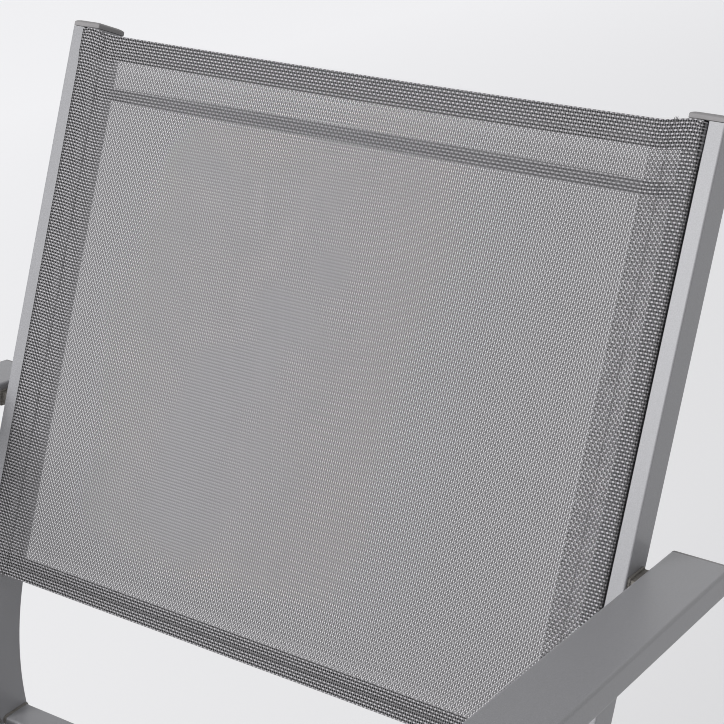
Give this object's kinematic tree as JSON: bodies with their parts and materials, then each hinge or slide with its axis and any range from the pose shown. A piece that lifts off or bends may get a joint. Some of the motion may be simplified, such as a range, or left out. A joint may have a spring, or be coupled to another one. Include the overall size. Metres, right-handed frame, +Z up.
{
  "type": "sling patio chair",
  "caption": "Stacking armchair for a patio or porch: flat tube armrests and front legs, bent slotted rails, woven slings for seat and back, pillowed rail caps.",
  "frame": {"origin": "on the floor, under the middle of the chair's box", "axes": "+Z up, -Y the way the sitter faces, +X to the sitter's left hand, which is right as seen from the front"},
  "size_m": [0.6042, 0.6272, 0.9009],
  "materials": {
    "frame_paint": "satin powder coat, silver grey",
    "woven_sling": "open plain weave of coated yarn, grey",
    "cap_plastic": "moulded, slightly grained",
    "hem_rod": "extruded rod",
    "bolt_steel": "plated"
  },
  "bodies": {
    "root": {"back_rail_left": "frame_paint", "seat_rail_left": "frame_paint", "armrest_left": "frame_paint", "front_leg_left": "frame_paint", "arm_block_left": "frame_paint", "leg_block_left": "frame_paint", "back_sling_rod_left": "hem_rod", "seat_sling_rod_left": "hem_rod", "back_rail_cap_left": "cap_plastic", "seat_rail_cap_left": "cap_plastic", "armrest_rear_cap_left": "cap_plastic", "armrest_front_cap_left": "cap_plastic", "rear_glide_left": "cap_plastic", "front_glide_left": "cap_plastic", "crossbar_insert_left": "bolt_steel", "crossbar_bolt_left": "bolt_steel", "back_rail_right": "frame_paint", "seat_rail_right": "frame_paint", "armrest_right": "frame_paint", "front_leg_right": "frame_paint", "arm_block_right": "frame_paint", "leg_block_right": "frame_paint", "back_sling_rod_right": "hem_rod", "seat_sling_rod_right": "hem_rod", "back_rail_cap_right": "cap_plastic", "seat_rail_cap_right": "cap_plastic", "armrest_rear_cap_right": "cap_plastic", "armrest_front_cap_right": "cap_plastic", "rear_glide_right": "cap_plastic", "front_glide_right": "cap_plastic", "crossbar_insert_right": "bolt_steel", "crossbar_bolt_right": "bolt_steel", "back_stretcher": "frame_paint", "rear_crossbar": "frame_paint", "front_crossbar": "frame_paint", "back_sling": "woven_sling", "seat_sling": "woven_sling"}
  },
  "joints": []
}
